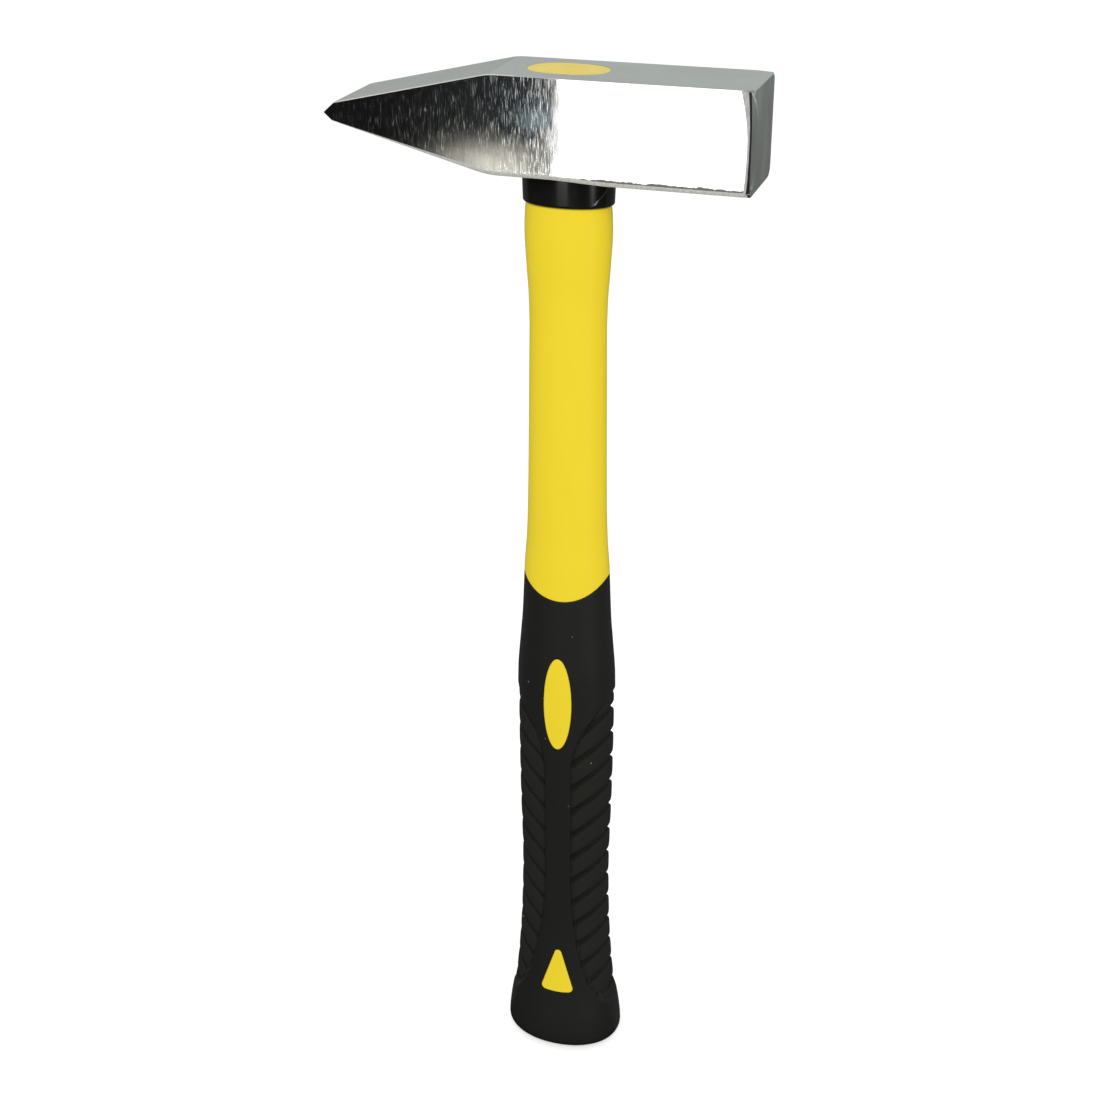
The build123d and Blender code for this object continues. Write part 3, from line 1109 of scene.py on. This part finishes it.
def glowSpots(material, spots):
    # soft round glows on a card: middle, reach each way, colour
    tree = material.node_tree
    shader = tree.nodes["Principled BSDF"]
    total = None
    for middle, reachX, reachZ, colour in spots:
        where = node(tree, "ShaderNodeTexCoord")
        mapping = node(tree, "ShaderNodeMapping")
        mapping.vector_type = "TEXTURE"
        mapping.inputs["Location"].default_value = middle
        mapping.inputs["Scale"].default_value = (reachX, 1, reachZ)
        ball = node(tree, "ShaderNodeTexGradient", gradient_type="QUADRATIC_SPHERE")
        tree.links.new(where.outputs["Object"], mapping.inputs["Vector"])
        tree.links.new(mapping.outputs["Vector"], ball.inputs["Vector"])
        tint = ramp(tree, ball.outputs["Fac"], [(0.0, (0, 0, 0)), (0.7, colour)])
        if total:
            add = node(tree, "ShaderNodeMix", data_type="RGBA", blend_type="ADD")
            add.inputs["Factor"].default_value = 1.0
            tree.links.new(total, add.inputs["A"])
            tree.links.new(tint, add.inputs["B"])
            total = add.outputs["Result"]
        else:
            total = tint
    tree.links.new(total, shader.inputs["Emission Color"])
    shader.inputs["Emission Strength"].default_value = 1.0


glowSpots(walls["dark corner"].data.materials[0], studio["cornerGlows"])

world = bpy.data.worlds.new("studio")
world.use_nodes = True
sky = world.node_tree.nodes["Background"]
sky.inputs["Color"].default_value = (1, 1, 1, 1)
sky.inputs["Strength"].default_value = studio["world"]
bpy.context.scene.world = world

keyLight = {"spot": (0.30, -1.0, 1.0), "target": (0, 0, 0.25), "size": (0.6, 0.6), "watts": 8.1}


def addKeyLight():
    light = bpy.data.lights.new("key", "AREA")
    light.shape = "RECTANGLE"
    light.size, light.size_y = keyLight["size"]
    light.energy = keyLight["watts"]
    thing = bpy.data.objects.new("key", light)
    spot = Vector(keyLight["spot"])
    thing.location = spot
    thing.rotation_euler = (Vector(keyLight["target"]) - spot).to_track_quat("-Z", "Y").to_euler()
    bpy.context.scene.collection.objects.link(thing)
    thing.visible_camera = False
    thing.visible_glossy = False


camera = {
    "azimuth": 16.84,  # degrees round to the right of straight on
    "turn": 0.60,  # aimed this much past the handle's axis
    "distance": 0.4895,  # level distance from the handle's axis, metres
    "height": 0.4147,
    "down": 25.76,
    "lens": 59.61,
}


def addCamera():
    around, away = math.radians(camera["azimuth"]), camera["distance"]
    lens = bpy.data.cameras.new("camera")
    lens.lens = camera["lens"]
    lens.sensor_width = 36
    lens.clip_start = 0.01
    thing = bpy.data.objects.new("camera", lens)
    thing.location = (away * math.sin(around), -away * math.cos(around), camera["height"])
    turn = around + math.radians(camera["turn"])
    thing.rotation_euler = (math.radians(90 - camera["down"]), 0, turn)
    bpy.context.scene.collection.objects.link(thing)
    bpy.context.scene.camera = thing


addKeyLight()
addCamera()
bpy.context.scene.view_settings.view_transform = "Standard"
print("stage, lights and camera set")
